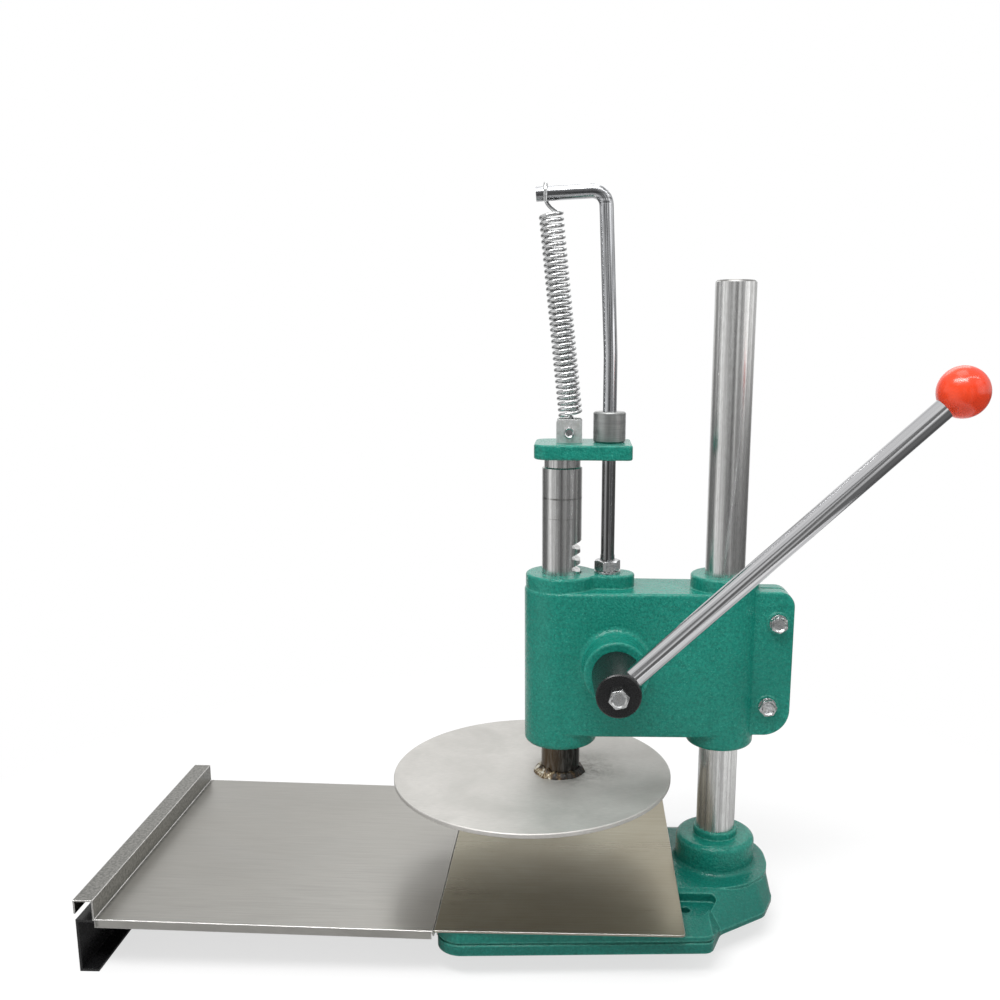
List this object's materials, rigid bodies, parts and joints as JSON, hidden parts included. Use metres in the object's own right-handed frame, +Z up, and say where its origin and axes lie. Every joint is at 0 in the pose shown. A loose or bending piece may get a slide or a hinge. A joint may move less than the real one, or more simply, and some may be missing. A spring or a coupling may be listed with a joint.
{
  "type": "dough press",
  "caption": "Hand press for pizza dough: a side lever turns a pinion that drives a racked ram with a round disc down to a steel base plate, beside a loading tray.",
  "frame": {"origin": "centre of the footprint's bounding box, on the surface that the feet and the tray's leg stand on", "axes": "+Z up along the ram and the column, +X from the tray to the column, +Y away from the side that carries the lever"},
  "size_m": [0.6784, 0.2568, 0.6086],
  "materials": {
    "green_paint": "hammered green enamel",
    "stainless_sheet": "brushed stainless sheet",
    "ground_steel": "ground bar",
    "dull_steel": "plain steel",
    "chrome": "polished chrome plate",
    "black_hub": "black oxide",
    "red_plastic": "gloss red",
    "black_paint": "satin black paint",
    "rubber": "matt",
    "bronze": "turned bronze",
    "zinc_plate": "bright zinc plate"
  },
  "bodies": {
    "base": {"base_casting": "green_paint", "base_plate": "stainless_sheet", "plate_nuts": "zinc_plate", "rubber_feet": "rubber", "foot_screws": "zinc_plate", "column": "ground_steel", "column_set_screw": "zinc_plate", "tray": "stainless_sheet", "tray_leg": "black_paint", "leg_nuts": "zinc_plate", "tray_screws": "zinc_plate"},
    "head": {"head_casting": "green_paint", "rear_cover": "green_paint", "cover_screws": "zinc_plate", "front_bush": "bronze", "rear_bush": "bronze", "clamp_bolts": "zinc_plate", "clamp_washers": "zinc_plate", "clamp_nuts": "zinc_plate", "guide_rod": "dull_steel", "rod_lock_nut": "zinc_plate", "rod_washer": "zinc_plate", "return_spring": "dull_steel"},
    "collar": {"stop_collar": "zinc_plate", "collar_screw": "zinc_plate"},
    "ram": {"ram": "ground_steel", "press_disc": "stainless_sheet", "disc_weld": "stainless_sheet", "guide_bracket": "green_paint", "bracket_bolt": "zinc_plate", "spring_lug": "zinc_plate", "lug_bolt": "zinc_plate", "lug_nut": "zinc_plate"},
    "handle": {"pinion_gear": "dull_steel", "pinion_shaft": "ground_steel", "pinion_key": "dull_steel", "hub_key": "dull_steel", "shaft_ring": "dull_steel", "handle_hub": "black_hub", "hub_bolt": "zinc_plate", "lever_rod": "chrome", "lever_knob": "red_plastic"}
  },
  "joints": [
    {"name": "head_height", "type": "slide", "parent": "base", "child": "head", "axis": [0, 0, 1], "range_m": [0, 0.2]},
    {"name": "lever_turn", "type": "hinge", "parent": "head", "child": "handle", "pos_m": [0.08006, 0, 0.2268], "axis": [0, -1, 0], "range_deg": [0, 125]},
    {"name": "ram_slide", "type": "slide", "parent": "head", "child": "ram", "axis": [0, 0, -1], "range_m": [0, 0.072], "stiffness_N_per_m": 2500, "springref_m": -0.03, "deforming": ["return_spring"]},
    {"name": "collar_height", "type": "slide", "parent": "head", "child": "collar", "axis": [0, 0, 1], "range_m": [0, 0.038]}
  ],
  "couplings": [
    {"joint": "ram_slide", "follows": "lever_turn", "m_per_rad": 0.033}
  ]
}
